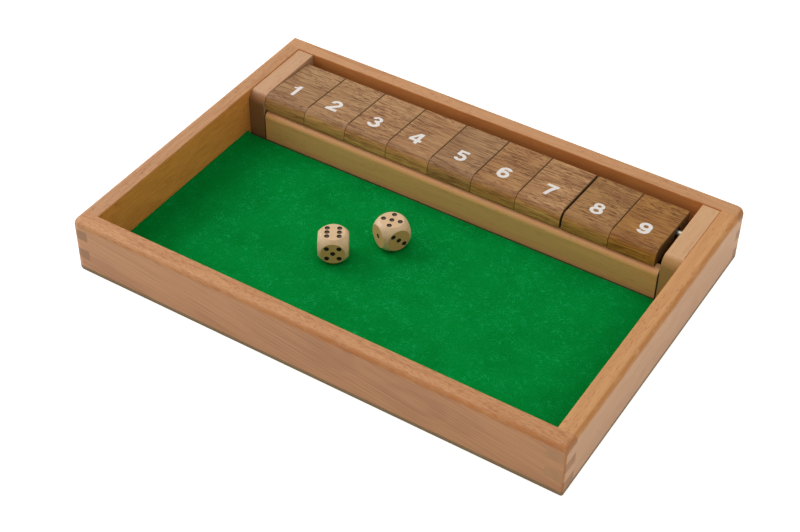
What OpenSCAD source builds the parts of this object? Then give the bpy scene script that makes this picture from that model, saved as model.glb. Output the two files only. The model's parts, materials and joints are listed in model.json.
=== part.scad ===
// Shut the box game: a shallow beech tray with a felt floor, a rack of nine
// numbered tiles that flip up on one steel rod, and two wooden dice.
// Millimetres, +Z up. The origin is the middle of the tray's footprint, on the
// surface it stands on. +X runs along the row of tiles and +Y to the rack.

/* [Tray] */
// Thickness of the four walls
wall_t = 10; // [8:0.5:14]
// Height of the four walls
wall_h = 28.4; // [27:0.2:34]
// Thickness of the base board under the walls
base_t = 2.2; // [1.8:0.1:4]
// Thickness of the felt on the floor
felt_t = 1.8; // [0.8:0.1:2.2]
// Space between the felt's edge and the walls
felt_gap = 0.3; // [0.1:0.1:1]
// Space between the felt's rear edge and the rack
felt_space = 2.5; // [1:0.1:4]
// Depth of the open floor in front of the rack
well_d = 126.5; // [90:0.5:180]
// Radius of the front left and rear right upright corners
corner_r = 5; // [3.2:0.1:7]
// Radius of the other two upright corners, which are left crisper
crisp_r = 1.2; // [0.5:0.1:3]
// Radius along the tray's outer top edge
top_r = 3; // [1:0.1:3.1]
// Height of one finger of the corner joints
finger_h = 6.1; // [4:0.1:9]
// Radius that eases the wooden parts' small edges
ease_r = 0.5; // [0.3:0.1:0.8]

/* [Rack] */
// Depth of the end cheeks, front to back
rack_d = 48.4; // [48:0.1:54]
// Thickness of each end cheek
cheek_t = 9.9; // [8:0.1:14]
// Drop from the top of the walls to the top of the cheeks
cheek_drop = 0.4; // [0:0.1:1]
// Radius of the cheeks' top front edge
cheek_r = 6; // [2:0.1:8]
// Space between the cheeks and the walls
cheek_gap = 0.1; // [0:0.05:0.3]
// Thickness of the rail that carries the tiles
rail_t = 6; // [5.5:0.1:9]
// Drop from the top of the cheeks to the top of the rail
rail_drop = 10; // [8.5:0.1:11]
// Radius of the rail's top front edge
rail_r = 3.5; // [1:0.1:4]
// Space between each end of the rail and its cheek
rail_gap = 0.3; // [0.05:0.05:0.4]

/* [Tiles] */
// Number of tiles in the row
tile_count = 9; // [9]
// Width of a tile along the row
tile_w = 25.9; // [20:0.1:32]
// Depth of a tile, front to back
tile_d = 41.1; // [38:0.1:41.5]
// Thickness of a tile
tile_t = 10.4; // [9:0.1:11]
// Tilt of the resting tiles, rear edge down
tilt = 4.3; // [0:0.1:5]
// Radius of a tile's top front edge
tile_top_r = 5; // [1:0.1:6]
// Radius of a tile's bottom front edge
tile_low_r = 2; // [0.5:0.1:2.5]
// Space between neighbouring tiles
tile_gap = 0.25; // [0.1:0.05:0.6]
// Extra space after the tile named by slack_tile
slack = 0.95; // [0:0.05:1.5]
// Tile that has the extra space after it
slack_tile = 7; // [1:1:8]
// Space between the left cheek and the first tile
left_play = 0.15; // [0.1:0.05:0.5]
// Space between the last tile and the right cheek
right_play = 3.8; // [0.2:0.1:5]
// Space between the resting tiles and the rail
rest_gap = 0.05; // [0.03:0.01:0.1]
// Space between the rear wall and the rear edge of a level tile
rear_space = 6.2; // [5:0.1:7]

/* [Rod] */
// Diameter of the steel rod
rod_d = 4; // [3:0.1:5]
// Distance from a tile's rear edge to the rod's axis
rod_inset = 14.5; // [13:0.1:16]
// Radial clearance of the tiles' bores on the rod
bore_gap = 0.05; // [0.02:0.01:0.1]
// Radial clearance of the rod's seats in the cheeks
seat_gap = 0.02; // [0.01:0.01:0.05]
// Depth of the rod's seat in each cheek
seat_d = 6; // [4:0.5:7]
// End clearance of the rod in its seats
seat_end = 0.2; // [0.1:0.1:0.5]

/* [Dice] */
// Edge length of a die
die_a = 15.8; // [12:0.1:18]
// Radius of the ball that rounds a die's corners, as a share of its edge
round_share = 0.64; // [0.62:0.01:0.75]
// Radius of a pip at the die's face
pip_r = 1.4; // [1:0.1:1.6]
// Depth of a pip
pip_d = 0.6; // [0.3:0.1:0.8]
// Pip spacing as a share of the die's edge
pip_share = 0.2; // [0.18:0.01:0.22]
// Place of the first die, to the right of the tray's middle
die_1_x = -32.1; // [-100:0.05:-25]
// Place of the first die, to the rear of the tray's middle
die_1_y = -23.1; // [-60:0.05:-22]
// Turn of the first die about the upright
die_1_turn = 31.2; // [0:0.1:90]
// Place of the second die, to the right of the tray's middle
die_2_x = -12.3; // [-14:0.05:100]
// Place of the second die, to the rear of the tray's middle
die_2_y = 1.1; // [-1:0.05:15]
// Turn of the second die about the upright
die_2_turn = -30.2; // [-90:0.1:0]

/* [Hidden] */
$fn = 64;
cut = 0.5;
FRONT = -1;
REAR = 1;
LEFT = -1;
RIGHT = 1;

// The row of tiles sets the rack's span, and the rack sets the tray's size.
row_l = left_play + tile_count * tile_w + (tile_count - 1) * tile_gap + slack + right_play;
inner_l = row_l + 2 * (cheek_t + cheek_gap);
inner_d = well_d + rack_d + cheek_gap;
tray_l = inner_l + 2 * wall_t;
tray_d = inner_d + 2 * wall_t;
tray_h = base_t + wall_h;

felt_top = base_t + felt_t;
cheek_top = tray_h - cheek_drop;
rack_rear = inner_d / 2 - cheek_gap;
rack_front = rack_rear - rack_d;
rail_top = cheek_top - rail_drop;
rod_y = inner_d / 2 - rear_space - rod_inset;
rod_l = row_l + 2 * (seat_d - seat_end);
row_left = -row_l / 2;
finger_count = ceil(wall_h / finger_h);

// The tilted tiles rest on the eased rear edge of the rail, which sets the rod's height.
edge_y = rack_front + rail_t - ease_r;
edge_z = rail_top - ease_r;
edge_to_rod = tile_t / 2 + rest_gap + ease_r;
rod_z = edge_z + (edge_to_rod - (rod_y - edge_y) * sin(tilt)) / cos(tilt);

// Left edge of tile n, counted from 1.
function tile_left(n) =
    row_left + left_play + (n - 1) * (tile_w + tile_gap) + (n > slack_tile ? slack : 0);

// Centres of a face's pips, in pip spacings.
function pip_spots(n) =
    n == 1 ? [[0, 0]] :
    n == 2 ? [[-1, 1], [1, -1]] :
    n == 3 ? [[-1, 1], [0, 0], [1, -1]] :
    n == 4 ? [for (x = [-1, 1], y = [-1, 1]) [x, y]] :
    n == 5 ? concat(pip_spots(4), pip_spots(1)) :
    [for (x = [-1, 1], y = [-1, 0, 1]) [x, y]];

// Waste in the corner of a square that a round edge of radius r leaves.
module corner_waste(r) {
    difference() {
        translate([-cut, -cut]) square(r + cut);
        translate([r, r]) circle(r);
    }
}

// Rectangle with its own radius at each corner:
// low left, low right, high right, high left.
module eased_rect(w, h, radii) {
    at = [[0, 0], [w, 0], [w, h], [0, h]];
    difference() {
        square([w, h]);
        for (i = [0:3])
            if (radii[i] > 0) translate(at[i]) rotate(90 * i) corner_waste(radii[i]);
    }
}

// Stands a section drawn in Y and Z on its plane and extrudes it along +X.
module along_x(l) {
    rotate([90, 0, 90]) linear_extrude(l) children();
}

// Stands a section drawn in X and Z on its plane and extrudes it along +Y.
module along_y(l) {
    translate([0, l, 0]) rotate([90, 0, 0]) linear_extrude(l) children();
}

// Footprint of the tray with its rounded corners.
module footprint() {
    translate([-tray_l / 2, -tray_d / 2])
        eased_rect(tray_l, tray_d, [corner_r, crisp_r, corner_r, crisp_r]);
}

// Round post with a round top that forms a softened upright corner of the tray.
module corner_post() {
    rotate_extrude() {
        square([corner_r - top_r, wall_h]);
        square([corner_r, wall_h - top_r]);
        intersection() {
            translate([corner_r - top_r, wall_h - top_r]) circle(top_r);
            square([corner_r, wall_h]);
        }
    }
}

// Crisp upright corner at the front right, where the two round top edges meet in a mitre.
module crisp_corner() {
    intersection() {
        translate([0, -tray_d / 2, 0])
            along_x(tray_l / 2) eased_rect(tray_d / 2, wall_h, [0, 0, 0, top_r]);
        translate([0, -tray_d / 2, 0])
            along_y(tray_d / 2) eased_rect(tray_l / 2, wall_h, [0, 0, top_r, 0]);
        translate([tray_l / 2 - corner_r, -tray_d / 2, 0])
            linear_extrude(wall_h) eased_rect(corner_r, corner_r, [0, crisp_r, 0, 0]);
    }
}

// Solid block with the outer shape of the four joined walls.
module wall_block() {
    long = tray_l - 2 * corner_r;
    deep = tray_d - 2 * corner_r;
    translate([0, 0, base_t]) {
        translate([-long / 2, -tray_d / 2, 0])
            along_x(long) eased_rect(tray_d, wall_h, [0, 0, top_r, top_r]);
        translate([-tray_l / 2, -deep / 2, 0])
            along_y(deep) eased_rect(tray_l, wall_h, [0, 0, top_r, top_r]);
        for (turn = [0, 180])
            rotate(turn) {
                translate([-long / 2, -deep / 2, 0]) corner_post();
                crisp_corner();
            }
    }
}

// Blocks at the four corners that hold every second finger, counted from first.
module finger_blocks(first) {
    reach = wall_t + cut;
    for (k = [first:2:finger_count - 1], x = [-1, 1], y = [-1, 1])
        translate([
            x * (tray_l / 2 - wall_t + reach / 2),
            y * (tray_d / 2 - wall_t + reach / 2),
            base_t + (k + 0.5) * finger_h
        ])
            cube([reach, reach, finger_h], center = true);
}

// Front or rear wall. It owns the lowest finger at each end. Its inner top edge is
// eased between the side walls only, so that the joints on top stay flush.
module long_wall(side) {
    low = side == FRONT ? -tray_d / 2 : inner_d / 2;
    difference() {
        intersection() {
            translate([-tray_l / 2, low, base_t]) cube([tray_l, wall_t, wall_h]);
            wall_block();
        }
        finger_blocks(1);
        translate([-inner_l / 2, side * inner_d / 2, tray_h])
            along_x(inner_l) rotate(side == FRONT ? 180 : 270) corner_waste(ease_r);
    }
}

// Left or right wall. Its fingers fill the gaps between the other walls' own.
module short_wall(side) {
    low = side == LEFT ? -tray_l / 2 : inner_l / 2;
    difference() {
        intersection() {
            translate([low, -tray_d / 2, base_t]) cube([wall_t, tray_d, wall_h]);
            wall_block();
        }
        finger_blocks(0);
        translate([side * inner_l / 2, -inner_d / 2, tray_h])
            along_y(inner_d) rotate(side == LEFT ? 180 : 270) corner_waste(ease_r);
    }
}

// End cheek of the rack, with a blind seat for the rod in its inner face.
module cheek(side) {
    low = side == LEFT ? row_left - cheek_t : -row_left;
    seat = side == LEFT ? row_left - seat_d : -row_left - cut;
    difference() {
        intersection() {
            translate([low, rack_front, base_t])
                along_x(cheek_t)
                    eased_rect(rack_d, cheek_top - base_t, [0, 0, ease_r, cheek_r]);
            translate([low, rack_front, base_t])
                along_y(rack_d)
                    eased_rect(cheek_t, cheek_top - base_t, [0, 0, ease_r, ease_r]);
        }
        translate([seat, rod_y, rod_z])
            rotate([0, 90, 0]) cylinder(h = seat_d + cut, r = rod_d / 2 + seat_gap);
    }
}

// Tile with a round front, drawn level with the rod's axis along X at its left end.
module bored_tile() {
    difference() {
        translate([0, rod_inset - tile_d, -tile_t / 2]) intersection() {
            along_x(tile_w) eased_rect(tile_d, tile_t, [tile_low_r, ease_r, ease_r, tile_top_r]);
            along_y(tile_d) eased_rect(tile_w, tile_t, [ease_r, ease_r, ease_r, ease_r]);
        }
        translate([-cut, 0, 0])
            rotate([0, 90, 0]) cylinder(h = tile_w + 2 * cut, r = rod_d / 2 + bore_gap);
    }
}

// Dimples of one face of a die, the face lying on the die's top.
module face_pips(n) {
    ball_r = (pip_r * pip_r + pip_d * pip_d) / (2 * pip_d);
    for (spot = pip_spots(n))
        translate([spot[0] * pip_share * die_a, spot[1] * pip_share * die_a, die_a / 2 + ball_r - pip_d])
            sphere(ball_r);
}

// Die centred on the origin with six on top, five in front and three at the right.
module die() {
    difference() {
        intersection() {
            cube(die_a, center = true);
            sphere(round_share * die_a);
        }
        face_pips(6);
        rotate([180, 0, 0]) face_pips(1);
        rotate([90, 0, 0]) face_pips(5);
        rotate([-90, 0, 0]) face_pips(2);
        rotate([0, 90, 0]) face_pips(3);
        rotate([0, -90, 0]) face_pips(4);
    }
}

module base_board() {
    color([0.55, 0.47, 0.4]) linear_extrude(base_t) footprint();
}

module felt_floor() {
    front = -inner_d / 2 + felt_gap;
    size = [inner_l - 2 * felt_gap, rack_front - felt_space - front, felt_t];
    color([0, 0.45, 0.2]) translate([-size[0] / 2, front, base_t]) cube(size);
}

module front_wall() {
    color([0.76, 0.56, 0.4]) long_wall(FRONT);
}

module rear_wall() {
    color([0.76, 0.56, 0.4]) long_wall(REAR);
}

module left_wall() {
    color([0.74, 0.54, 0.38]) short_wall(LEFT);
}

module right_wall() {
    color([0.74, 0.54, 0.38]) short_wall(RIGHT);
}

module left_cheek() {
    color([0.82, 0.66, 0.5]) cheek(LEFT);
}

module right_cheek() {
    color([0.82, 0.66, 0.5]) cheek(RIGHT);
}

module tile_rail() {
    color([0.78, 0.6, 0.44])
        translate([row_left + rail_gap, rack_front, base_t])
            along_x(row_l - 2 * rail_gap)
                eased_rect(rail_t, rail_top - base_t, [0, 0, ease_r, rail_r]);
}

module tile_rod() {
    color([0.75, 0.76, 0.78])
        translate([-rod_l / 2, rod_y, rod_z]) rotate([0, 90, 0]) cylinder(h = rod_l, r = rod_d / 2);
}

module tile(n) {
    color([0.5, 0.36, 0.25])
        translate([tile_left(n), rod_y, rod_z]) rotate([-tilt, 0, 0]) bored_tile();
}

module die_1() {
    color([0.86, 0.73, 0.56])
        translate([die_1_x, die_1_y, felt_top + die_a / 2]) rotate([0, 0, die_1_turn]) die();
}

// The second die lies with its five on top.
module die_2() {
    color([0.86, 0.73, 0.56])
        translate([die_2_x, die_2_y, felt_top + die_a / 2])
            rotate([0, 0, die_2_turn]) rotate([-90, 0, 0]) die();
}

base_board();
felt_floor();
front_wall();
rear_wall();
left_wall();
right_wall();
left_cheek();
right_cheek();
tile_rail();
tile_rod();
tile(1);  // tile_1
tile(2);  // tile_2
tile(3);  // tile_3
tile(4);  // tile_4
tile(5);  // tile_5
tile(6);  // tile_6
tile(7);  // tile_7
tile(8);  // tile_8
tile(9);  // tile_9
die_1();
die_2();
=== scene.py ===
"""Dresses a shut the box game: a shallow beech tray with a felt floor, a rack of
nine numbered tiles that flip up on one steel rod, and two wooden dice.

Metres, +Z up. The origin is the middle of the tray's footprint, on the surface
it stands on. +X runs along the row of tiles and +Y to the rack.
"""
import json
import logging
import math
from dataclasses import dataclass, field, fields, replace
from enum import Enum

import bpy
from mathutils import Matrix, Vector


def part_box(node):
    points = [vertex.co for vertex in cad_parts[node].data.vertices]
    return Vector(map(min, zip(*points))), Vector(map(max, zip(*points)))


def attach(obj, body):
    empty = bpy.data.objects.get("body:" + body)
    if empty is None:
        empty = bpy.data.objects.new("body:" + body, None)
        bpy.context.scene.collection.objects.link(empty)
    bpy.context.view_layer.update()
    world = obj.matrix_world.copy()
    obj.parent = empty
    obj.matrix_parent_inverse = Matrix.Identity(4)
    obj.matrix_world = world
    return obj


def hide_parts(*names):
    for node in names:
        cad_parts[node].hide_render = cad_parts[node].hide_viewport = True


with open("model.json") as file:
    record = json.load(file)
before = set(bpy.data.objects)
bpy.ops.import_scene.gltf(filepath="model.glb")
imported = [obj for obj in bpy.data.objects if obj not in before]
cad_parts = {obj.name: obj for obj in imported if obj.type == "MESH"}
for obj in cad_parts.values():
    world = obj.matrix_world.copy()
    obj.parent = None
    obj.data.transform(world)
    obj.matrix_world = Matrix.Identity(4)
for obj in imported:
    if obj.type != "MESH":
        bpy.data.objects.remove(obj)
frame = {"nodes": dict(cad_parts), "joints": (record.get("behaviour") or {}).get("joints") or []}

Colour = tuple[float, float, float, float]
Point = tuple[float, float, float]
Socket = bpy.types.NodeSocket
Feed = Socket | float | tuple
Outputs = bpy.types.NodeOutputs
Piece = bpy.types.Object

MM = 0.001
ZERO: Point = (0.0, 0.0, 0.0)
ONE: Point = (1.0, 1.0, 1.0)
WHITE: Colour = (1.0, 1.0, 1.0, 1.0)
log = logging.getLogger("shut_the_box")


def tone(red: int, green: int, blue: int) -> Colour:
    """Turns a screen colour into a linear one.

    Args:
        red: Red, from 0 to 255.
        green: Green, from 0 to 255.
        blue: Blue, from 0 to 255.

    Returns:
        The colour that a shader socket takes.
    """
    steps = [part / 255 for part in (red, green, blue)]
    low = [part / 12.92 if part <= 0.04045 else ((part + 0.055) / 1.055) ** 2.4 for part in steps]
    return (*low, 1.0)


# ---- Woods ----


class GrainAxis(Enum):
    """Direction of a board's grain, with the turn that brings it onto X."""

    ALONG_X = 0.0
    ALONG_Y = -90.0


@dataclass(frozen=True)
class Timber:
    """A kind of wood: its colours, its marks and its gloss, with lengths in millimetres.

    The side that looks backwards along the board's own Y takes the inner tint, which is
    painted shade and painted bounce light of the felt. Rounded edges take a colour of
    rubbed wear and painted shading, darker where a round stands in shade and lighter
    where it holds a highlight; towards the left end it fades by its fade, which leaves
    a painted sheen along the edge there. Round a bore along X, up to the radius given,
    the end face takes a painted dark ring for the shade in the hole round the rod.
    Beyond the distance given from its middle, a board's ends take a painted dark line
    for the shade in the gap beside them.
    """

    light: Colour = WHITE
    dark: Colour = WHITE
    fleck: Colour = WHITE
    end: Colour = WHITE
    # Colour of rounded edges: rubbed wear with painted shading.
    worn: Colour = WHITE
    ring_width: float = 3.0
    ring_mark: float = 0.5
    fibre_mark: float = 0.4
    fibre_length: float = 14.0
    fleck_mark: float = 0.5
    fleck_share: float = 0.0
    side_flecks: float = 0.35
    streak_mark: float = 0.0
    # Strength of the rounded edges' colour, and its fade towards the left end, which leaves a painted
    # sheen there.
    worn_mark: float = 0.3
    worn_fade: float = 0.0
    end_from: float = 0.55
    # Tint of painted shade and painted bounce light on the side that looks back along Y.
    inner: Colour = WHITE
    # Radius of a painted dark ring round a bore along X, the shade in the hole round the rod.
    bore: float = 0.0
    # Distance from the middle past which the ends take a painted dark line, the shade in the gap beside
    # them.
    joint_from: float = 9999.0
    gloss: float = 0.46
    shine: float = 0.5
    relief: float = 0.05

    def tinted(self, red: float, green: float, blue: float) -> "Timber":
        """Gives the same wood with its colours tinted, for another plank's tone and, on some walls and
        cheeks, for painted light and shade.

        Args:
            red: Factor of every colour's red.
            green: Factor of its green.
            blue: Factor of its blue.

        Returns:
            The tinted wood.
        """
        names = ("light", "dark", "fleck", "end", "worn")
        tint = (red, green, blue, 1.0)
        tints = {name: tuple(a * b for a, b in zip(getattr(self, name), tint)) for name in names}
        return replace(self, **tints)

    def board(
        self,
        name: str,
        seed: float,
        centre: Point,
        axis: GrainAxis = GrainAxis.ALONG_X,
        heart: Point = (0.0, -60.0, 4.0),
        askew: Point = ZERO,
    ) -> "Finish":
        """Cuts a board with its own stretch of grain.

        Args:
            name: Name of the board's finish.
            seed: Number that picks the stretch of grain.
            centre: The board's middle, in metres.
            axis: Direction of its grain.
            heart: The tree's heart, in millimetres from the board's middle.
            askew: Further turn of the grain about X, Y and Z, in degrees.

        Returns:
            The board's finish.
        """
        x, y, z = askew
        turn = (math.radians(x), math.radians(y), math.radians(z + axis.value))
        feeds = {"Seed": seed, "Centre": centre, "Turn": turn, "Heart": heart, **self.feeds()}
        return Finish(name, BoardGrain, feeds, self.relief, settings={"Specular IOR Level": self.shine})

    def feeds(self) -> dict[str, Feed]:
        """Gives what the grain takes of the wood, by its inputs' names."""
        names = (part.name for part in fields(self) if part.name not in ("shine", "relief"))
        return {name.replace("_", " ").title(): getattr(self, name) for name in names}


# ---- Shader nodes ----


class Bench:
    """Adds nodes to one shader tree and wires them."""

    def __init__(self, tree: bpy.types.NodeTree) -> None:
        """Takes the tree to work on.

        Args:
            tree: Tree of a material, a world or a node group.
        """
        self.tree = tree

    @classmethod
    def fresh(cls, holder: bpy.types.Material | bpy.types.World) -> "Bench":
        """Empties the tree of a material or a world and opens a bench on it."""
        holder.use_nodes = True
        holder.node_tree.nodes.clear()
        return cls(holder.node_tree)

    def put(self, kind: str, feeds: dict[int | str, Feed], **options: object) -> bpy.types.Node:
        """Adds a node.

        Args:
            kind: Type name of the node.
            feeds: What goes into each input, a socket or a plain value.
            **options: Settings of the node itself.

        Returns:
            The new node.
        """
        node = self.tree.nodes.new(kind)
        for name, option in options.items():
            setattr(node, name, option)
        for key, feed in feeds.items():
            self.join(feed, node.inputs[key])
        return node

    def join(self, feed: Feed, socket: Socket) -> None:
        """Links a socket or sets a plain value.

        Args:
            feed: Output socket or value.
            socket: Input that gets it.
        """
        if isinstance(feed, Socket):
            self.tree.links.new(feed, socket)
        else:
            socket.default_value = feed

    def calc(self, operation: str, *feeds: Feed) -> Socket:
        """Does arithmetic on one to three numbers."""
        return self.put("ShaderNodeMath", dict(enumerate(feeds)), operation=operation).outputs[0]

    def times(self, first: Feed, second: Feed) -> Socket:
        """Multiplies two numbers."""
        return self.calc("MULTIPLY", first, second)

    def sway(self, operation: str, *feeds: Feed) -> Socket:
        """Does arithmetic on vectors. LENGTH gives a number, all else a vector."""
        node = self.put("ShaderNodeVectorMath", dict(enumerate(feeds)), operation=operation)
        return node.outputs["Value" if operation == "LENGTH" else "Vector"]

    def split(self, vector: Feed) -> tuple[Socket, ...]:
        """Gives a vector's three parts as sockets."""
        return tuple(self.put("ShaderNodeSeparateXYZ", {0: vector}).outputs)

    def merge(self, x: Feed, y: Feed, z: Feed) -> Socket:
        """Makes a vector of three numbers."""
        return self.put("ShaderNodeCombineXYZ", {0: x, 1: y, 2: z}).outputs[0]

    def turned(self, vector: Feed, turn: Feed, kind: str) -> Socket:
        """Turns a POINT or a VECTOR about the origin."""
        feeds = {"Vector": vector, "Rotation": turn}
        return self.put("ShaderNodeMapping", feeds, vector_type=kind).outputs[0]

    def millimetres(self, place: Feed) -> Socket:
        """Turns a place in metres into millimetres."""
        return self.sway("MULTIPLY", place, (1 / MM, 1 / MM, 1 / MM))

    def noise(self, place: Feed, lump: Point = ONE, detail: float = 2.0, rough: float = 0.5) -> Socket:
        """Adds a cloudy pattern.

        Args:
            place: Where to read the pattern.
            lump: Size of its lumps along X, Y and Z.
            detail: Number of finer layers.
            rough: Strength of the finer layers.

        Returns:
            The pattern's value, about 0.5 on average.
        """
        scaled = self.sway("MULTIPLY", place, tuple(1 / size for size in lump))
        feeds = {"Vector": scaled, "Scale": 1.0, "Detail": detail, "Roughness": rough}
        return self.put("ShaderNodeTexNoise", feeds).outputs[0]

    def step(self, value: Feed, low: Feed, high: Feed) -> Socket:
        """Eases a value from 0 at the low limit to 1 at the high one."""
        feeds = {"Value": value, "From Min": low, "From Max": high}
        return self.put("ShaderNodeMapRange", feeds, interpolation_type="SMOOTHSTEP").outputs[0]

    def blend(self, share: Feed, first: Feed, second: Feed) -> Socket:
        """Mixes two colours by the share of the second one."""
        feeds = {0: share, 6: first, 7: second}
        return self.put("ShaderNodeMix", feeds, data_type="RGBA").outputs[2]


class Effect:
    """A shader node group with named inputs and outputs, built once."""

    name = "effect"
    takes: dict[str, Feed] = {}
    gives: tuple[str, ...] = ()

    @staticmethod
    def kind_of(value: Feed) -> str:
        """Names the socket type that holds a number, a vector or a colour."""
        parts = 1 if isinstance(value, float) else len(value)
        return {1: "NodeSocketFloat", 3: "NodeSocketVector", 4: "NodeSocketColor"}[parts]

    def tree(self) -> bpy.types.NodeTree:
        """Builds the group, or finds it if it is built already.

        Returns:
            The group's tree.
        """
        found = bpy.data.node_groups.get(self.name)
        if found is not None:
            return found
        tree = bpy.data.node_groups.new(self.name, "ShaderNodeTree")
        for name, value in self.takes.items():
            socket = tree.interface.new_socket(name, in_out="INPUT", socket_type=self.kind_of(value))
            socket.default_value = value
        for name in self.gives:
            kind = "NodeSocketColor" if name == "Color" else "NodeSocketFloat"
            tree.interface.new_socket(name, in_out="OUTPUT", socket_type=kind)
        bench = Bench(tree)
        inner = bench.put("NodeGroupInput", {})
        outer = bench.put("NodeGroupOutput", {})
        for name, socket in self.wire(bench, inner.outputs).items():
            bench.join(socket, outer.inputs[name])
        return tree

    def wire(self, bench: Bench, takes: Outputs) -> dict[str, Feed]:
        """Wires the group's inside.

        Args:
            bench: Bench of the group's tree.
            takes: The group's inputs.

        Returns:
            What each output gives.
        """
        raise NotImplementedError

    def place(self, bench: Bench, feeds: dict[str, Feed]) -> Outputs:
        """Puts the group in a material and gives its outputs."""
        return bench.put("ShaderNodeGroup", feeds, node_tree=self.tree()).outputs


class BoardGrain(Effect):
    """Growth rings, fibres, flecks, streaks and end grain of a board along X, with painted light and
    shade on one side, on its rounds, in a bore and at its ends.
    """

    name = "board_grain"
    takes = {
        "Position": ZERO,
        "Facing": (0.0, 0.0, 1.0),
        "Centre": ZERO,
        "Turn": ZERO,
        "Heart": ZERO,
        "Seed": 0.0,
        **Timber().feeds(),
    }
    gives = ("Color", "Roughness", "Height")
    seed_step = 317.0
    wander_reach = 26.0
    band_pull = 0.35
    end_share = 0.7
    fibre_width = 0.55
    fade_from = 30.0
    fade_to = -110.0
    # Sizes of the patterns' lumps along X, Y and Z, in millimetres.
    wander_lump = (90, 45, 45)
    dash_lump = (3.6, 0.46, 0.46)
    patch_lump = (28, 9, 9)
    streak_lump = (10, 0.6, 0.6)
    band_lump = (30, 3.4, 3.4)
    rub_lump = (6, 3, 3)
    # Near-black of the painted shade in a bore and in the gaps at a board's ends.
    scorched: Colour = (0.006, 0.004, 0.003, 1.0)

    def wire(self, bench: Bench, takes: Outputs) -> dict[str, Feed]:
        """Wires the grain.

        Args:
            bench: Bench of the group's tree.
            takes: The group's inputs.

        Returns:
            The wood's colour, roughness and height.
        """
        start = bench.sway("SUBTRACT", takes["Position"], takes["Centre"])
        place = bench.millimetres(bench.turned(start, takes["Turn"], "POINT"))
        shift = bench.merge(bench.times(takes["Seed"], self.seed_step), 0.0, 0.0)
        where = bench.sway("ADD", place, shift)

        wander = bench.noise(where, self.wander_lump)
        wander = bench.times(bench.calc("SUBTRACT", wander, 0.5), self.wander_reach)
        across = bench.sway("MULTIPLY", bench.sway("SUBTRACT", where, takes["Heart"]), (0.0, 1.0, 1.0))
        radius = bench.calc("ADD", bench.sway("LENGTH", across), wander)
        turns = bench.calc("DIVIDE", radius, takes["Ring Width"])
        ring = bench.noise(bench.merge(turns, takes["Seed"], 0.5), detail=1.5)
        ring = bench.step(ring, 0.36, 0.68)

        thread = bench.merge(takes["Fibre Length"], self.fibre_width, self.fibre_width)
        thread = bench.sway("DIVIDE", where, thread)
        fibre = bench.noise(thread, detail=3.0, rough=0.6)
        fibre_dark = bench.step(fibre, 0.42, 0.72)

        dash = bench.noise(where, self.dash_lump, 1.0)
        patch = bench.noise(where, self.patch_lump, 1.0)
        dash = bench.calc("ADD", dash, takes["Fleck Share"])
        fleck = bench.times(bench.step(dash, 0.61, 0.69), bench.step(patch, 0.36, 0.56))

        streak = bench.noise(where, self.streak_lump)
        band = bench.noise(where, self.band_lump, 1.5)
        streak = bench.calc("MULTIPLY_ADD", bench.calc("SUBTRACT", band, 0.5), self.band_pull, streak)
        streak = bench.step(streak, 0.5, 0.65)

        facing = bench.turned(takes["Facing"], takes["Turn"], "VECTOR")
        # The side that looks back along Y takes the inner tint: painted shade and painted bounce light.
        inner = bench.times(bench.split(facing)[1], -1.0)
        inner = bench.blend(bench.step(inner, 0.7, 0.98), WHITE, takes["Inner"])
        face_x, face_y, face_z = bench.split(bench.sway("ABSOLUTE", facing))
        fleck = bench.times(fleck, bench.calc("MAXIMUM", face_z, takes["Side Flecks"]))
        end = bench.step(face_x, takes["End From"], bench.calc("ADD", takes["End From"], 0.35))
        flat = bench.calc("MAXIMUM", bench.calc("MAXIMUM", face_x, face_y), face_z)
        # Rounded edges take rubbed wear mixed with painted shading of the rounds.
        rub = bench.noise(where, self.rub_lump)
        worn = bench.step(bench.calc("SUBTRACT", 1.0, flat), 0.01, 0.1)
        worn = bench.times(worn, bench.step(rub, 0.25, 0.55))
        along = bench.split(place)[0]
        # Towards the left end the rounded edges' colour fades, leaving them lighter for a painted
        # sheen.
        fresh = bench.times(bench.step(along, self.fade_from, self.fade_to), takes["Worn Fade"])
        worn = bench.times(worn, bench.calc("SUBTRACT", 1.0, fresh))

        dark = bench.times(ring, takes["Ring Mark"])
        dark = bench.calc("MULTIPLY_ADD", fibre_dark, takes["Fibre Mark"], dark)
        dark = bench.calc("MINIMUM", dark, 1.0)
        colour = bench.blend(dark, takes["Light"], takes["Dark"])
        streaked = bench.times(streak, takes["Streak Mark"])
        colour = bench.blend(streaked, colour, takes["Fleck"])
        colour = bench.blend(bench.times(fleck, takes["Fleck Mark"]), colour, takes["Fleck"])
        colour = bench.blend(bench.times(end, self.end_share), colour, takes["End"])
        colour = bench.blend(bench.times(worn, takes["Worn Mark"]), colour, takes["Worn"])
        # Painted shade and bounce light on that side.
        colour = bench.sway("MULTIPLY", colour, inner)

        # Painted shade: a dark ring round the bore for the hole round the rod.
        from_bore = bench.sway("LENGTH", bench.sway("MULTIPLY", place, (0.0, 1.0, 1.0)))
        reach = bench.calc("SUBTRACT", takes["Bore"], from_bore)
        scorch = bench.times(bench.step(reach, -0.2, 0.3), bench.step(face_x, 0.4, 0.8))
        # Painted shade: dark ends for the gaps beside them.
        joint = bench.calc("SUBTRACT", bench.calc("ABSOLUTE", along), takes["Joint From"])
        scorch = bench.calc("MAXIMUM", scorch, bench.step(joint, 0.0, 0.35))
        colour = bench.blend(scorch, colour, self.scorched)

        height = bench.times(fibre, 0.6)
        height = bench.calc("MULTIPLY_ADD", fleck, -0.4, height)
        height = bench.calc("MULTIPLY_ADD", streaked, -0.5, height)
        rough = bench.calc("MULTIPLY_ADD", fibre, 0.16, bench.calc("SUBTRACT", takes["Gloss"], 0.08))
        rough = bench.calc("MULTIPLY_ADD", end, 0.12, rough)
        return {"Color": colour, "Roughness": rough, "Height": height}


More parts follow.
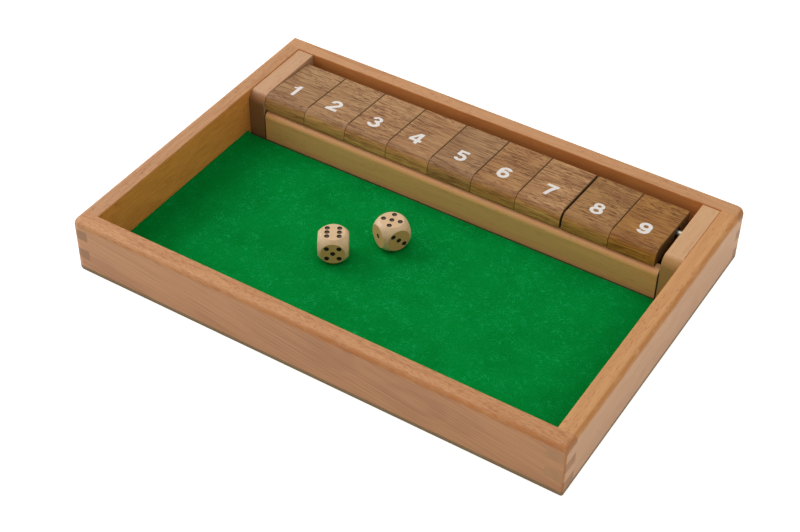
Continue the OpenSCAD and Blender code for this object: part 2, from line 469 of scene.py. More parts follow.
class FeltNap(Effect):
    """Clouded colour and loose fibres of pressed felt in the XY plane, with painted shade towards the
    walls at both ends in X.
    """

    name = "felt_nap"
    takes = {
        "Position": ZERO,
        "Base": WHITE,
        "Deep": WHITE,
        "Fibre": WHITE,
        "Edge": WHITE,
    }
    gives = ("Color", "Height")
    fibre_width = 0.42
    edge_from = 96.0
    edge_to = 126.0
    bend_scale = 0.16
    bend_reach = (4.0, 4.0, 0.0)
    # Sizes of the patterns' lumps along X, Y and Z, in millimetres.
    sparse_lump = (7, 7, 7)
    cloud_lump = (22, 22, 1.0)
    grit_lump = (0.8, 0.8, 1.0)
    # Direction in degrees and length in millimetres of each set of fibres.
    fibre_sets = ((12.0, 4.6), (64.0, 3.6), (118.0, 4.2), (157.0, 3.4))

    def wire(self, bench: Bench, takes: Outputs) -> dict[str, Feed]:
        """Wires the nap.

        Args:
            bench: Bench of the group's tree.
            takes: The group's inputs.

        Returns:
            The felt's colour and height.
        """
        where = bench.millimetres(takes["Position"])
        feeds = {"Vector": where, "Scale": self.bend_scale, "Detail": 1.0}
        bend = bench.put("ShaderNodeTexNoise", feeds).outputs[1]
        bend = bench.sway("MULTIPLY", bench.sway("SUBTRACT", bend, (0.5, 0.5, 0.5)), self.bend_reach)
        bent = bench.sway("ADD", where, bend)
        fibres: Feed = 0.0
        for angle, length in self.fibre_sets:
            turned = bench.turned(bent, (0.0, 0.0, math.radians(angle)), "POINT")
            thread = bench.noise(turned, (length, self.fibre_width, 1.0), detail=0.0)
            fibres = bench.calc("MAXIMUM", fibres, bench.step(thread, 0.6, 0.8))
        sparse = bench.step(bench.noise(where, self.sparse_lump), 0.40, 0.66)
        cloud = bench.noise(where, self.cloud_lump, 3.0)
        grit = bench.noise(where, self.grit_lump)
        deep = bench.times(bench.step(cloud, 0.3, 0.75), 0.45)
        deep = bench.calc("MULTIPLY_ADD", bench.step(grit, 0.35, 0.7), 0.6, deep)
        colour = bench.blend(bench.calc("MINIMUM", deep, 1.0), takes["Base"], takes["Deep"])
        loose = bench.times(fibres, bench.calc("MULTIPLY_ADD", sparse, 0.5, 0.26))
        colour = bench.blend(loose, colour, takes["Fibre"])
        # Darker towards both ends in X: painted shade of the side walls.
        reach = bench.calc("ABSOLUTE", bench.split(where)[0])
        edge = bench.times(bench.step(reach, self.edge_from, self.edge_to), 0.4)
        colour = bench.blend(edge, colour, takes["Edge"])
        height = bench.calc("MULTIPLY_ADD", fibres, 0.7, bench.times(grit, 0.6))
        return {"Color": colour, "Height": height}


class FineMottle(Effect):
    """Small soft variation of a painted or metal surface."""

    name = "fine_mottle"
    takes = {
        "Position": ZERO,
        "Stretch": ONE,
        "Base": WHITE,
        "Shade": WHITE,
        "Gloss": 0.4,
        "Spread": 0.2,
    }
    gives = ("Color", "Roughness", "Height")

    def wire(self, bench: Bench, takes: Outputs) -> dict[str, Feed]:
        """Wires the variation.

        Args:
            bench: Bench of the group's tree.
            takes: The group's inputs.

        Returns:
            The surface's colour, roughness and height.
        """
        where = bench.sway("MULTIPLY", bench.millimetres(takes["Position"]), takes["Stretch"])
        soft = bench.noise(where, detail=3.0, rough=0.6)
        shade = bench.step(soft, 0.45, 0.8)
        colour = bench.blend(shade, takes["Base"], takes["Shade"])
        rough = bench.calc("MULTIPLY_ADD", soft, takes["Spread"], takes["Gloss"])
        return {"Color": colour, "Roughness": rough, "Height": soft}


class PlyLayers(Effect):
    """Thin layers of a plywood board, stacked along Z."""

    name = "ply_layers"
    takes = {
        "Position": ZERO,
        "Light": WHITE,
        "Dark": WHITE,
    }
    gives = ("Color", "Height")
    layer = 0.73
    ripple_rise = 0.15
    # Sizes of the patterns' lumps along X, Y and Z, in millimetres.
    ripple_lump = (30, 30, 1.0)
    grain_lump = (9, 0.5, 0.5)

    def wire(self, bench: Bench, takes: Outputs) -> dict[str, Feed]:
        """Wires the layers.

        Args:
            bench: Bench of the group's tree.
            takes: The group's inputs.

        Returns:
            The board's colour and height.
        """
        where = bench.millimetres(takes["Position"])
        rise = bench.split(where)[2]
        ripple = bench.noise(where, self.ripple_lump)
        rise = bench.calc("MULTIPLY_ADD", ripple, self.ripple_rise, rise)
        layer = bench.calc("PINGPONG", bench.calc("DIVIDE", rise, self.layer), 1.0)
        band = bench.step(layer, 0.35, 0.65)
        grain = bench.noise(where, self.grain_lump, 3.0, 0.6)
        dark = bench.calc("MULTIPLY_ADD", bench.step(grain, 0.4, 0.7), 0.4, bench.times(band, 0.6))
        colour = bench.blend(dark, takes["Light"], takes["Dark"])
        return {"Color": colour, "Height": grain}


# ---- Finishes ----


@dataclass(frozen=True)
class Finish:
    """A procedural material of one kind of surface, whose pattern is one effect.

    What looks up takes its own colour, where there is one: painted light or shade of upward faces.
    """

    name: str
    effect: type[Effect]
    feeds: dict[str, Feed]
    relief: float = 0.01
    strength: float = 1.0
    settings: dict[str, float] = field(default_factory=dict)
    # Painted light or shade of faces that look up.
    upper: Colour | None = None
    upper_from: float = 0.88
    upper_to: float = 0.98

    def material(self) -> bpy.types.Material:
        """Builds the material, or finds it if it is built already.

        Returns:
            The finished material.
        """
        found = bpy.data.materials.get(self.name)
        if found is not None:
            return found
        made = bpy.data.materials.new(self.name)
        bench = Bench.fresh(made)
        shader = bench.put("ShaderNodeBsdfPrincipled", {})
        output = bench.put("ShaderNodeOutputMaterial", {})
        bench.join(shader.outputs[0], output.inputs[0])
        places = bench.put("ShaderNodeTexCoord", {}).outputs
        known = {"Position": places["Object"], "Facing": places["Normal"]}
        known = {name: place for name, place in known.items() if name in self.effect.takes}
        pattern = self.effect().place(bench, {**known, **self.feeds})
        colour = pattern["Color"]
        # Faces that look up take their painted light or shade.
        if self.upper is not None:
            rise = bench.split(places["Normal"])[2]
            colour = bench.blend(bench.step(rise, self.upper_from, self.upper_to), colour, self.upper)
        bump = {"Strength": self.strength, "Distance": self.relief * MM, "Height": pattern["Height"]}
        feeds = {"Base Color": colour, "Normal": bench.put("ShaderNodeBump", bump).outputs[0]}
        if "Roughness" in self.effect.gives:
            feeds["Roughness"] = pattern["Roughness"]
        for name, feed in {**feeds, **self.settings}.items():
            bench.join(feed, shader.inputs[name])
        return made


# Beech's rounded edges take rubbed wear with painted shade.
BEECH = Timber(
    light=tone(209, 154, 111),
    dark=tone(184, 126, 84),
    fleck=tone(164, 80, 48),
    end=tone(166, 118, 86),
    worn=tone(186, 114, 52),
    fleck_mark=0.75,
    worn_mark=0.65,
    end_from=0.3,
)
PALE_BEECH = replace(
    BEECH,
    light=tone(216, 172, 130),
    dark=tone(194, 148, 106),
    end=tone(150, 96, 54),
    fleck_mark=0.3,
    worn_mark=0.3,
)
# The tiles' inner tint is painted bounce light of the felt on their fronts, their dark rounds wear and
# painted shade, and the bore ring and dark sides painted shade of the hole and of the gaps between
# tiles.
TILE_WOOD = Timber(
    light=tone(186, 147, 104),
    dark=tone(142, 99, 66),
    fleck=tone(96, 50, 28),
    end=tone(124, 102, 72),
    worn=tone(142, 98, 60),
    ring_width=2.2,
    ring_mark=0.45,
    fibre_mark=0.5,
    fleck_mark=0.8,
    fleck_share=0.05,
    streak_mark=0.6,
    worn_mark=0.35,
    end_from=0.15,
    inner=(1.3, 1.27, 0.85, 1.0),
    bore=3.6,
    joint_from=12.8,
    gloss=0.5,
    shine=0.3,
    relief=0.12,
)
# The dice's inner tint is painted shade on one side face, and their rounded edges take the paler colour
# of wear and painted shading.
DIE_WOOD = Timber(
    light=tone(220, 188, 156),
    dark=tone(208, 172, 136),
    fleck=tone(194, 152, 114),
    end=tone(202, 155, 93),
    worn=tone(230, 202, 174),
    ring_mark=0.4,
    fibre_mark=0.3,
    fleck_mark=0.3,
    worn_mark=0.8,
    inner=(0.98, 0.86, 0.6, 1.0),
    gloss=0.4,
    relief=0.01,
)
GREEN_FELT = Finish(
    "green_felt",
    FeltNap,
    {
        "Base": tone(0, 140, 59),
        "Deep": tone(0, 120, 45),
        "Fibre": tone(24, 172, 98),
        # Painted shade of the felt near the side walls.
        "Edge": tone(0, 96, 28),
    },
    relief=0.25,
    strength=0.8,
    settings={"Roughness": 1.0, "Specular IOR Level": 0.02},
)
BASE_LAYERS = Finish(
    "base_layers",
    PlyLayers,
    {"Light": tone(160, 136, 106), "Dark": tone(116, 94, 70)},
    relief=0.05,
    settings={"Roughness": 0.7},
    # Faces that look up are painted dark green: the shade in the gap by the rail and under the tiles,
    # with bounce light of the felt.
    upper=tone(40, 56, 22),
    upper_from=0.6,
    upper_to=0.9,
)
DRAWN_STEEL = Finish(
    "drawn_steel",
    FineMottle,
    {
        "Stretch": (0.05, 4.0, 4.0),
        "Base": tone(205, 207, 210),
        "Shade": tone(170, 172, 176),
        "Gloss": 0.18,
        "Spread": 0.15,
    },
    relief=0.01,
    settings={"Metallic": 1.0},
)
WHITE_PAINT = Finish(
    "white_paint",
    FineMottle,
    {
        "Stretch": (0.4, 2.5, 2.5),
        "Base": tone(232, 229, 238),
        "Shade": tone(214, 208, 214),
        "Gloss": 0.35,
        "Spread": 0.2,
    },
    relief=0.01,
)
BLACK_PAINT = Finish(
    "black_paint",
    FineMottle,
    {
        "Stretch": (2.0, 2.0, 2.0),
        "Base": tone(14, 10, 8),
        "Shade": tone(32, 22, 18),
        "Gloss": 0.6,
        "Spread": 0.2,
    },
    relief=0.01,
    # The cups' upward bottoms take a brown painted highlight.
    upper=tone(96, 70, 58),
)


# ---- Modelling ----


def deselect() -> None:
    """Leaves edit mode and deselects everything."""
    if bpy.context.object is not None and bpy.context.object.mode != "OBJECT":
        bpy.ops.object.mode_set(mode="OBJECT")
    bpy.ops.object.select_all(action="DESELECT")


def select_mesh() -> None:
    """Selects the whole mesh in edit mode."""
    bpy.ops.mesh.select_all(action="SELECT")


def add(name: str, data: bpy.types.ID) -> Piece:
    """Makes an object of its data and puts it in the scene."""
    made = bpy.data.objects.new(name, data)
    bpy.context.scene.collection.objects.link(made)
    return made


def pick(piece: Piece) -> None:
    """Makes a piece the only selected one and the active one."""
    deselect()
    piece.select_set(True)
    bpy.context.view_layer.objects.active = piece


def modify(piece: Piece, kind: str, **settings: object) -> None:
    """Gives a piece a modifier and applies it.

    Args:
        piece: The piece to modify.
        kind: Type name of the modifier.
        **settings: The modifier's settings.
    """
    pick(piece)
    modifier = piece.modifiers.new("shaping", kind)
    for name, setting in settings.items():
        setattr(modifier, name, setting)
    bpy.ops.object.modifier_apply(modifier=modifier.name)


def settle(piece: Piece, name: str, material: bpy.types.Material) -> None:
    """Scales a piece drawn in millimetres, names it and gives it a material.

    Args:
        piece: Piece with its place in its mesh.
        name: The piece's name.
        material: Its only material.
    """
    pick(piece)
    piece.scale = (MM, MM, MM)
    bpy.ops.object.transform_apply()
    piece.name = name
    piece.data.name = name
    piece.data.materials.clear()
    piece.data.materials.append(material)


def unite(pieces: list[Piece], operation: str = "UNION") -> Piece:
    """Unites closed pieces into one, or cuts the others from the first.

    Args:
        pieces: The pieces, of which the first stays.
        operation: UNION or DIFFERENCE.

    Returns:
        The piece that stays.
    """
    first = pieces[0]
    for other in pieces[1:]:
        modify(first, "BOOLEAN", operation=operation, solver="MANIFOLD", object=other)
        bpy.data.objects.remove(other)
    return first


def middle(node: str) -> Point:
    """Finds the middle of a CAD node's box, in metres."""
    low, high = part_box(node)
    return tuple((low + high) / 2)


def dress(node: str, finish: Finish) -> None:
    """Gives a CAD node its finish.

    Args:
        node: The node's name.
        finish: The finish of its whole surface.
    """
    piece = frame["nodes"][node]
    for slot in piece.material_slots:
        slot.material = finish.material()
    log.info("%s: %s", node, finish.name)


@dataclass(frozen=True)
class Go:
    """A straight part of a stroke."""

    length: float


@dataclass(frozen=True)
class Bend:
    """A round part of a stroke. A positive angle turns to the left."""

    radius: float
    angle: float


@dataclass(frozen=True)
class Stroke:
    """One stroke of a numeral, in millimetres from the numeral's middle."""

    start: tuple[float, float]
    heading: float
    moves: tuple[Go | Bend, ...]
    width: float = 1.9
    arc: float = 6.0
    fewest: int = 4
    weld: float = 0.001

    def sweep(self, low: float, high: float) -> Piece:
        """Sweeps a flat nib along the stroke.

        Args:
            low: Height of the stroke's underside.
            high: Height of its top.

        Returns:
            The closed solid.
        """
        deselect()
        bpy.ops.mesh.primitive_plane_add(size=1)
        piece = bpy.context.object
        piece.scale = (self.width, high - low, 1)
        piece.rotation_euler = (math.pi / 2, 0, math.radians(self.heading) + math.pi / 2)
        piece.location = (*self.start, (low + high) / 2)
        bpy.ops.object.transform_apply()
        bpy.ops.object.mode_set(mode="EDIT")
        select_mesh()
        place, heading = Vector(self.start), math.radians(self.heading)
        for move in self.moves:
            if isinstance(move, Go):
                ahead = Vector((math.cos(heading), math.sin(heading))) * move.length
                bpy.ops.mesh.extrude_region_move(TRANSFORM_OT_translate={"value": (*ahead, 0)})
                place = place + ahead
            else:
                side = math.copysign(move.radius, move.angle)
                centre = place + Vector((-math.sin(heading), math.cos(heading))) * side
                angle = math.radians(move.angle)
                # The spin operator counts its angle clockwise.
                bpy.ops.mesh.spin(
                    steps=max(self.fewest, round(abs(move.angle) / self.arc)),
                    angle=-angle,
                    center=(*centre, 0),
                    axis=(0, 0, 1),
                )
                place = centre + Matrix.Rotation(angle, 2) @ (place - centre)
                heading += angle
        select_mesh()
        bpy.ops.mesh.remove_doubles(threshold=self.weld)
        bpy.ops.mesh.normals_make_consistent(inside=False)
        bpy.ops.object.mode_set(mode="OBJECT")
        return piece


@dataclass(frozen=True)
class Ring:
    """A closed round stroke of a numeral, in millimetres from the numeral's middle."""

    middle: tuple[float, float]
    radius: float
    width: float
    sides: int = 64

    def disc(self, radius: float, low: float, high: float) -> Piece:
        """Makes a flat disc about the ring's middle.

        Args:
            radius: The disc's radius.
            low: Height of its underside.
            high: Height of its top.

        Returns:
            The closed disc.
        """
        deselect()
        bpy.ops.mesh.primitive_cylinder_add(
            vertices=self.sides,
            radius=radius,
            depth=high - low,
            location=(*self.middle, (low + high) / 2),
        )
        bpy.ops.object.transform_apply()
        return bpy.context.object

    def sweep(self, low: float, high: float) -> Piece:
        """Cuts the ring out of a disc.

        Args:
            low: Height of the ring's underside.
            high: Height of its top.

        Returns:
            The closed solid.
        """
        ring = self.disc(self.radius + self.width / 2, low, high)
        core = self.disc(self.radius - self.width / 2, low - 1, high + 1)
        return unite([ring, core], "DIFFERENCE")


BOWL = Ring((0.0, -1.45), 2.35, 2.0)
STEM_OF_SIX = Stroke((-2.4, -1.45), 90, (Go(2.9), Bend(2.55, -150)), 2.0)


@dataclass(frozen=True)
class Numeral:
    """The strokes of one bold numeral, about 10 mm tall."""

    strokes: tuple[Stroke | Ring, ...]
    stretch: float = 1.0
    turned: bool = False

    def shape(self, low: float, high: float, half: float) -> Piece:
        """Draws the numeral round the origin.

        Args:
            low: Height of the underside.
            high: Height of the top.
            half: Half of the numeral's height, where it is trimmed.

        Returns:
            The closed solid, in millimetres.
        """
        piece = unite([stroke.sweep(low, high) for stroke in self.strokes])
        pick(piece)
        bpy.ops.object.mode_set(mode="EDIT")
        for side in (-1, 1):
            select_mesh()
            bpy.ops.mesh.bisect(
                plane_co=(0, side * half, 0),
                plane_no=(0, side, 0),
                use_fill=True,
                clear_outer=True,
            )
        bpy.ops.object.mode_set(mode="OBJECT")
        piece.scale = (self.stretch, 1, 1)
        piece.rotation_euler = (0, 0, math.pi if self.turned else 0)
        bpy.ops.object.transform_apply()
        return piece


NUMERALS = {
    1: Numeral((
        Stroke((0.95, -5.2), 90, (Go(10.4),), 2.0),
        Stroke((-2.05, 2.35), 0, (Go(0.4), Bend(2.6, 62)), 1.3),
    )),
    2: Numeral((
        Stroke((-2.03, 1.6), 98, (Bend(2.15, -230), Go(6.2)), 1.9),
        Stroke((-3.15, -4.05), 0, (Go(6.25),), 1.9),
    ), 1.1),
    3: Numeral((
        Stroke((-1.64, 2.3), 95, (Bend(1.75, -275),), 1.65),
        Stroke((-0.6, 0.55), 0, (Go(1.2),), 1.7),
        Stroke((0.1, 0.3), 0, (Bend(2.15, -265),), 1.9),
    ), 1.15),
    4: Numeral((
        Stroke((1.3, -5.2), 90, (Go(10.4),), 2.0),
        Stroke((-3.65, -1.9), 0, (Go(7.3),), 1.9),
        Stroke((-2.9, -1.3), 58.9, (Go(8.0),), 1.7),
    )),
    5: Numeral((
        Stroke((-2.45, 3.95), 0, (Go(5.35),), 1.8),
        Stroke((-1.65, 4.8), -94, (Go(4.75),), 1.7),
        Stroke((-1.56, 0.21), 45, (Bend(2.35, -290),), 1.9),
    )),
    6: Numeral((BOWL, STEM_OF_SIX)),
    7: Numeral((
        Stroke((-3.35, 4.05), 0, (Go(6.6),), 1.8),
        Stroke((2.5, 4.4), -125, (Bend(20, 28),), 2.0),
    )),
    8: Numeral((
        Ring((0.0, 2.3), 1.75, 1.5),
        Ring((0.0, -1.85), 2.15, 1.7),
    ), 1.17),
    9: Numeral((BOWL, STEM_OF_SIX), turned=True),
}


# ---- Sub-assemblies ----


@dataclass
class Tray:
    """The four walls with their finger joints, and the base board."""

    # The front's round-over colour is rubbed wear and painted shade, faded towards the left end for a
    # painted sheen there.
    front: Timber = replace(
        BEECH,
        light=tone(206, 150, 108),
        dark=tone(168, 110, 72),
        worn=tone(188, 116, 62),
        ring_mark=0.4,
        fibre_mark=0.75,
        fibre_length=48.0,
        side_flecks=0.1,
        worn_mark=0.6,
        worn_fade=0.9,
    )
    # The rear wall's inner tint is painted shade and bounce light on its inner face.
    rear: Timber = replace(BEECH.tinted(0.93, 0.96, 1.04), inner=(1.27, 0.95, 0.59, 1.0))
    # The left wall's darker tint and its inner tint are painted shade on its top and inner face.
    left: Timber = replace(
        BEECH.tinted(0.86, 0.90, 0.97),
        ring_mark=0.3,
        fibre_mark=0.95,
        side_flecks=0.9,
        inner=(1.6, 1.24, 0.57, 1.0),
    )
    # The right wall's paler tint and end colour are a painted sheen on its outer face.
    right: Timber = replace(BEECH.tinted(1.09, 1.14, 1.10), end=tone(182, 138, 106))

    def dress(self) -> None:
        """Gives each wall its own board of beech, tinted for painted light and shade, and the base its
        layers.
        """
        front, rear = middle("front_wall"), middle("rear_wall")
        left, right = middle("left_wall"), middle("right_wall")
        along = GrainAxis.ALONG_Y
        dress("front_wall", self.front.board("front_beech", 1.3, front, askew=(0, -9, 0)))
        dress("rear_wall", self.rear.board("rear_beech", 2.7, rear))
        dress("left_wall", self.left.board("left_beech", 4.1, left, along))
        dress("right_wall", self.right.board("right_beech", 5.9, right, along))
        dress("base_board", BASE_LAYERS)


@dataclass
class FeltFloor:
    """The green felt on the tray's floor."""

    length: float = 259.4
    width: float = 123.7
    middle_y: float = -25.35
    low: float = 2.2
    high: float = 4.0
    cell: float = 2.0
    edge_drop: float = 0.25
    edge_rise: tuple[float, ...] = (1.9, 0.4, 0.05)
    ripple: float = 0.14
    ripple_length: float = 11.0
    near: float = 0.01
    smooth_to: float = 40.0

    def build(self) -> None:
        """Models the felt and lays it on the base board."""
        deselect()
        bpy.ops.mesh.primitive_grid_add(
            x_subdivisions=round(self.length / self.cell),
            y_subdivisions=round(self.width / self.cell),
            size=1,
            location=(0, self.middle_y, self.high),
        )
        felt = bpy.context.object
        felt.scale = (self.length, self.width, 1)
        bpy.ops.object.transform_apply()
        cloud = bpy.data.textures.new("felt_ripple", "CLOUDS")
        cloud.noise_scale = self.ripple_length
        swell = {"texture": cloud, "texture_coords": "LOCAL", "direction": "Z"}
        modify(felt, "DISPLACE", strength=self.ripple, mid_level=1.0, **swell)
        self.close(felt)
        settle(felt, "felt_sheet", GREEN_FELT.material())
        bpy.ops.object.shade_smooth_by_angle(angle=math.radians(self.smooth_to))
        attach(felt, "tray")
        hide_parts("felt_floor")
        log.info("felt_sheet: %d faces", len(felt.data.polygons))

    def close(self, felt: Piece) -> None:
        """Shapes the cut edge and closes the felt down to a flat underside.

        The edge is rounded over, and at the left wall it stands up a little.

        Args:
            felt: The open top surface, in millimetres.
        """
        half_x, half_y = self.length / 2 - self.near, self.width / 2 - self.near
        step = self.length / round(self.length / self.cell)
        for vertex in felt.data.vertices:
            at_edge = abs(vertex.co.x) > half_x or abs(vertex.co.y - self.middle_y) > half_y
            vertex.co.z -= self.edge_drop if at_edge else 0.0
            row = round((vertex.co.x + self.length / 2) / step)
            if row < len(self.edge_rise):
                vertex.co.z += self.edge_rise[row]
        bpy.ops.object.mode_set(mode="EDIT")
        select_mesh()
        bpy.ops.mesh.extrude_region_move(TRANSFORM_OT_translate={"value": (0, 0, self.low - self.high)})
        bpy.ops.transform.resize(value=(1, 1, 0), center_override=(0, 0, self.low))
        select_mesh()
        bpy.ops.mesh.normals_make_consistent(inside=False)
        bpy.ops.object.mode_set(mode="OBJECT")


@dataclass
class TileRack:
    """The end cheeks, the rail under the tiles and the rod."""

    # The left cheek's dark end colour is painted shade on its front face, the right cheek's paler one
    # painted light.
    left: Timber = replace(PALE_BEECH.tinted(0.87, 0.86, 1.02), end=tone(108, 58, 8), ring_mark=0.2)
    right: Timber = replace(PALE_BEECH.tinted(0.96, 0.95, 1.03), end=tone(176, 140, 84), ring_mark=0.2)
    # The rail's pale round colour is wear and a painted highlight along its top, its inner tint painted
    # bounce light of the felt on its front, and its dark ends painted shade of the gaps by the cheeks.
    rail: Timber = replace(
        PALE_BEECH.tinted(1.22, 1.14, 1.08),
        ring_mark=0.15,
        fibre_mark=0.45,
        fibre_length=26.0,
        fleck_mark=0.7,
        worn=tone(236, 172, 128),
        worn_mark=0.8,
        inner=(1.0, 1.02, 0.88, 1.0),
        joint_from=119.0,
    )
    rail_heart: Point = (0.0, 5.0, -70.0)

    def dress(self) -> None:
        """Gives the cheeks and the rail their beech and the rod its steel.

        The middle of the rail's grain lies as high as the middle of the cheeks.
        """
        left, right = middle("left_cheek"), middle("right_cheek")
        along = GrainAxis.ALONG_Y
        dress("left_cheek", self.left.board("left_cheek_beech", 7.3, left, along))
        dress("right_cheek", self.right.board("right_cheek_beech", 8.9, right, along))
        rail = (*middle("tile_rail")[:2], left[2])
        dress("tile_rail", self.rail.board("rail_beech", 9.7, rail, heart=self.rail_heart))
        dress("tile_rod", DRAWN_STEEL)


@dataclass
class NumberTiles:
    """The nine tiles and their painted numerals."""

    thickness: float = 10.4
    tilt: float = 4.3
    paint: float = 0.06
    sunk: float = 0.06
    numeral_half: float = 5.0
    first_seed: float = 10.0
    seed_step: float = 1.7
    heart_y: float = 8.0
    heart_step: float = 2.0
    heart_z: float = -40.0
    numeral_places: dict[int, tuple[float, float]] = field(default_factory=lambda: {
        1: (-109.4, 54.2),
        2: (-83.2, 54.2),
        3: (-57.0, 54.1),
        4: (-30.7, 54.2),
        5: (-3.2, 54.15),
        6: (22.65, 54.15),
        7: (49.3, 54.75),
        8: (76.55, 54.9),
        9: (103.3, 54.2),
    })
    tints: dict[int, Point] = field(default_factory=lambda: {
        1: (0.93, 0.92, 1.04),
        2: (1.01, 1.01, 1.14),
        3: (1.06, 1.05, 1.18),
        4: (1.1, 1.09, 1.2),
        5: (0.84, 0.82, 0.94),
        6: (0.98, 0.91, 0.9),
        7: (1.08, 1.04, 1.1),
        8: (0.88, 0.8, 0.7),
        9: (0.9, 0.75, 0.49),
    })

    @staticmethod
    def rod() -> Point:
        """Finds the middle of the rod's axis, which all the tiles turn on, in metres."""
        hinge = next(joint for joint in frame["joints"] if joint["type"] == "hinge")
        return tuple(hinge["pos_m"])

    def dress(self) -> None:
        """Gives each tile its own stretch of the dark board."""
        _, rod_y, rod_z = self.rod()
        for number, tint in self.tints.items():
            finish = TILE_WOOD.tinted(*tint).board(
                f"tile_wood_{number}",
                self.first_seed + self.seed_step * number,
                (middle(f"tile_{number}")[0], rod_y, rod_z),
                heart=(0.0, self.heart_y - self.heart_step * number, self.heart_z),
                askew=(self.tilt, 0.0, 0.0),
            )
            dress(f"tile_{number}", finish)

    def paint_numerals(self) -> None:
        """Paints a numeral on each tile."""
        rod = Vector(self.rod()) / MM
        for number, numeral in NUMERALS.items():
            piece = numeral.shape(-self.sunk, self.paint, self.numeral_half)
            x, y = self.numeral_places[number]
            steps = (
                ((x, y - rod.y, self.thickness / 2), 0.0),
                ((0, rod.y, rod.z), -math.radians(self.tilt)),
            )
            for place, turn in steps:
                piece.location = place
                piece.rotation_euler = (turn, 0, 0)
                pick(piece)
                bpy.ops.object.transform_apply()
            settle(piece, f"number_{number}", WHITE_PAINT.material())
            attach(piece, f"tile_{number}_body")
            log.info("number_%d: %d faces", number, len(piece.data.polygons))


@dataclass
class Dice:
    """The two wooden dice and the paint in their pips."""

    edge: float = 15.8
    pip_radius: float = 1.4
    pip_depth: float = 0.6
    spacing: float = 3.16
    paint: float = 0.05
    rim: float = 0.02
    sides: int = 28
    rings: int = 20
    smooth_to: float = 30.0
    first_seed: float = 30.0
    seed_step: float = 3.3
    turns: dict[str, Point] = field(default_factory=lambda: {
        "die_1": (0.0, 0.0, 31.2),
        "die_2": (-90.0, 0.0, -30.2),
    })
    faces: tuple[tuple[int, Point], ...] = (
        (6, (0, 0, 0)),
        (1, (180, 0, 0)),
        (5, (90, 0, 0)),
        (2, (-90, 0, 0)),
        (3, (0, 90, 0)),
        (4, (0, -90, 0)),
    )

    @staticmethod
    def spots(count: int) -> list[tuple[int, int]]:
        """Lists a face's pips, in pip spacings from its middle.

        Args:
            count: Number of pips.

        Returns:
            The pips' places.
        """
        corners = [(x, y) for x in (-1, 1) for y in (-1, 1)]
        return {
            1: [(0, 0)],
            2: [(-1, 1), (1, -1)],
            3: [(-1, 1), (0, 0), (1, -1)],
            4: corners,
            5: [*corners, (0, 0)],
            6: [(x, y) for x in (-1, 1) for y in (-1, 0, 1)],
        }[count]

    @staticmethod
    def turned(angles: Point) -> Matrix:
        """Gives the turn about X, then Y, then Z."""
        x, y, z = (math.radians(angle) for angle in angles)
        return Matrix.Rotation(z, 4, "Z") @ Matrix.Rotation(y, 4, "Y") @ Matrix.Rotation(x, 4, "X")

    def pip(self) -> Piece:
        """Models the paint in one pip of the top face, as a thin cup.

        Returns:
            The cup, in millimetres from the die's middle.
        """
        ball = (self.pip_radius**2 + self.pip_depth**2) / (2 * self.pip_depth)
        deselect()
        bpy.ops.mesh.primitive_uv_sphere_add(
            segments=self.sides,
            ring_count=self.rings,
            radius=ball - self.paint,
            location=(0, 0, self.edge / 2 + ball - self.pip_depth),
        )
        cup = bpy.context.object
        bpy.ops.object.transform_apply()
        bpy.ops.object.mode_set(mode="EDIT")
        select_mesh()
        bpy.ops.mesh.bisect(
            plane_co=(0, 0, self.edge / 2 - self.rim),
            plane_no=(0, 0, 1),
            clear_outer=True,
        )
        select_mesh()
        bpy.ops.mesh.flip_normals()
        bpy.ops.object.mode_set(mode="OBJECT")
        modify(cup, "SOLIDIFY", thickness=2 * self.paint, offset=-1.0)
        bpy.ops.object.shade_smooth_by_angle(angle=math.radians(self.smooth_to))
        return cup

    def build(self) -> None:
        """Dresses both dice and paints their pips."""
        cup = self.pip()
        for number, (die, angles) in enumerate(self.turns.items()):
            centre = middle(die)
            stand = Matrix.Translation(Vector(centre) / MM) @ self.turned(angles)
            seed = self.first_seed + self.seed_step * number
            askew = (0.0, 0.0, -angles[2])
            dress(die, DIE_WOOD.board(f"{die}_wood", seed, centre, askew=askew))
            cups = []
            for count, face in self.faces:
                for x, y in self.spots(count):
                    spot = Matrix.Translation((x * self.spacing, y * self.spacing, 0))
                    copy = add("pip", cup.data.copy())
                    copy.data.transform(stand @ self.turned(face) @ spot)
                    cups.append(copy)
            deselect()
            for copy in cups:
                copy.select_set(True)
            bpy.context.view_layer.objects.active = cups[0]
            bpy.ops.object.join()
            settle(cups[0], f"{die}_pips", BLACK_PAINT.material())
            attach(cups[0], f"{die}_body")
            log.info("%s_pips: %d faces", die, len(cups[0].data.polygons))
        bpy.data.objects.remove(cup)


# ---- Studio ----


@dataclass(frozen=True)
class Lamp:
    """A soft panel of light."""

    name: str
    place: Point
    aim: Point
    size: tuple[float, float]
    power: float

    def hang(self) -> None:
        """Hangs the lamp."""
        light = bpy.data.lights.new(self.name, "AREA")
        light.shape = "RECTANGLE"
        light.size, light.size_y = self.size
        light.energy = self.power
        lamp = add(self.name, light)
        lamp.location = self.place
        toward = Vector(self.aim) - Vector(self.place)
        lamp.rotation_euler = toward.to_track_quat("-Z", "Y").to_euler()
        lamp.visible_camera = False


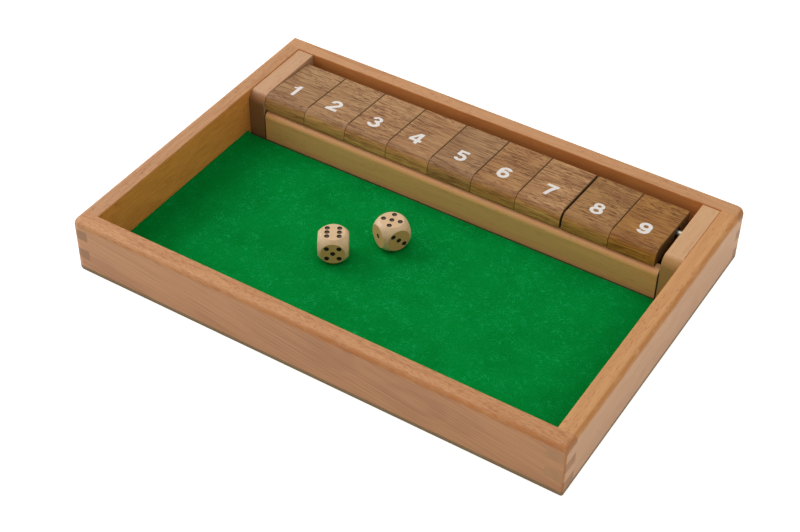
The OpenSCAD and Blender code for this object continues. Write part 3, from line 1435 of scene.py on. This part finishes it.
@dataclass
class Studio:
    """The camera, the lamps, the pale floor and the white surroundings."""

    camera_place: Point = (0.32174, -0.53327, 0.55853)
    azimuth: float = 31.60
    elevation: float = 42.15
    roll: float = 0.964
    lens: float = 73.056
    sensor: float = 36.0
    nearest: float = 0.01
    farthest: float = 50.0
    floor_size: float = 8.0
    floor_white: Colour = (0.93, 0.95, 1.0, 1.0)
    floor_matt: Colour = (0.8, 0.8, 0.8, 1.0)
    floor_glow: float = 0.72
    ambient: float = 0.5
    mirrored: float = 0.2
    ambient_colour: Colour = (1.0, 0.94, 0.70, 1.0)
    lamps: tuple[Lamp, ...] = (
        Lamp("overhead_panel", (0.0, 0.2, 1.1), (0.0, 0.2, 0.0), (2.4, 0.9), 5.5),
        Lamp("left_panel", (-1.2, 0.0, 0.7), (0.0, 0.0, 0.0), (1.0, 0.8), 9.0),
    )

    def set_camera(self) -> None:
        """Places the camera."""
        a, e, r = (math.radians(angle) for angle in (self.azimuth, self.elevation, self.roll))
        back = Vector((math.sin(a) * math.cos(e), -math.cos(a) * math.cos(e), math.sin(e)))
        level = Vector((math.cos(a), math.sin(a), 0.0))
        rise = back.cross(level)
        right = level * math.cos(r) + rise * math.sin(r)
        up = rise * math.cos(r) - level * math.sin(r)
        data = bpy.data.cameras.new("camera")
        data.sensor_width = self.sensor
        data.lens = self.lens
        data.clip_start = self.nearest
        data.clip_end = self.farthest
        camera = add("camera", data)
        turn = Matrix((right, up, back)).transposed().to_4x4()
        camera.matrix_world = Matrix.Translation(self.camera_place) @ turn
        bpy.context.scene.camera = camera

    def lay_floor(self) -> None:
        """Lays the pale floor, which keeps a faint shadow."""
        deselect()
        bpy.ops.mesh.primitive_plane_add(size=self.floor_size)
        floor = bpy.context.object
        floor.name = "studio_floor"
        paper = bpy.data.materials.new("floor_paper")
        bench = Bench.fresh(paper)
        path = bench.put("ShaderNodeLightPath", {})
        seen = bench.calc("MAXIMUM", path.outputs["Is Camera Ray"], path.outputs["Is Glossy Ray"])
        seen = bench.calc("MAXIMUM", seen, path.outputs["Is Transmission Ray"])
        feeds = {"Color": self.floor_white, "Strength": bench.times(seen, self.floor_glow)}
        glow = bench.put("ShaderNodeEmission", feeds)
        matt = bench.put("ShaderNodeBsdfDiffuse", {"Color": self.floor_matt})
        both = bench.put("ShaderNodeAddShader", {0: glow.outputs[0], 1: matt.outputs[0]})
        output = bench.put("ShaderNodeOutputMaterial", {})
        bench.join(both.outputs[0], output.inputs[0])
        floor.data.materials.append(paper)

    def set_surroundings(self) -> None:
        """Makes the world dim for light and white to the eye."""
        world = bpy.data.worlds.new("studio")
        bench = Bench.fresh(world)
        path = bench.put("ShaderNodeLightPath", {})
        shine = bench.times(path.outputs["Is Glossy Ray"], self.mirrored)
        shine = bench.calc("MAXIMUM", shine, path.outputs["Is Camera Ray"])
        shine = bench.calc("MAXIMUM", shine, path.outputs["Is Transmission Ray"])
        strength = bench.calc("MAXIMUM", shine, self.ambient)
        colour = bench.blend(path.outputs["Is Camera Ray"], self.ambient_colour, WHITE)
        sky = bench.put("ShaderNodeBackground", {"Color": colour, "Strength": strength})
        output = bench.put("ShaderNodeOutputWorld", {})
        bench.join(sky.outputs[0], output.inputs[0])
        bpy.context.scene.world = world

    def build(self) -> None:
        """Sets the whole studio up."""
        self.set_camera()
        self.lay_floor()
        self.set_surroundings()
        for lamp in self.lamps:
            lamp.hang()
        bpy.context.scene.view_settings.view_transform = "Standard"
        log.info("studio: %d lamps", len(self.lamps))


def main() -> None:
    """Builds and dresses the whole game, in order."""
    logging.basicConfig(level=logging.INFO, format="%(message)s")
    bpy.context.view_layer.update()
    Studio().build()
    Tray().dress()
    FeltFloor().build()
    TileRack().dress()
    tiles = NumberTiles()
    tiles.dress()
    tiles.paint_numerals()
    Dice().build()
    deselect()


if __name__ == "__main__":
    main()
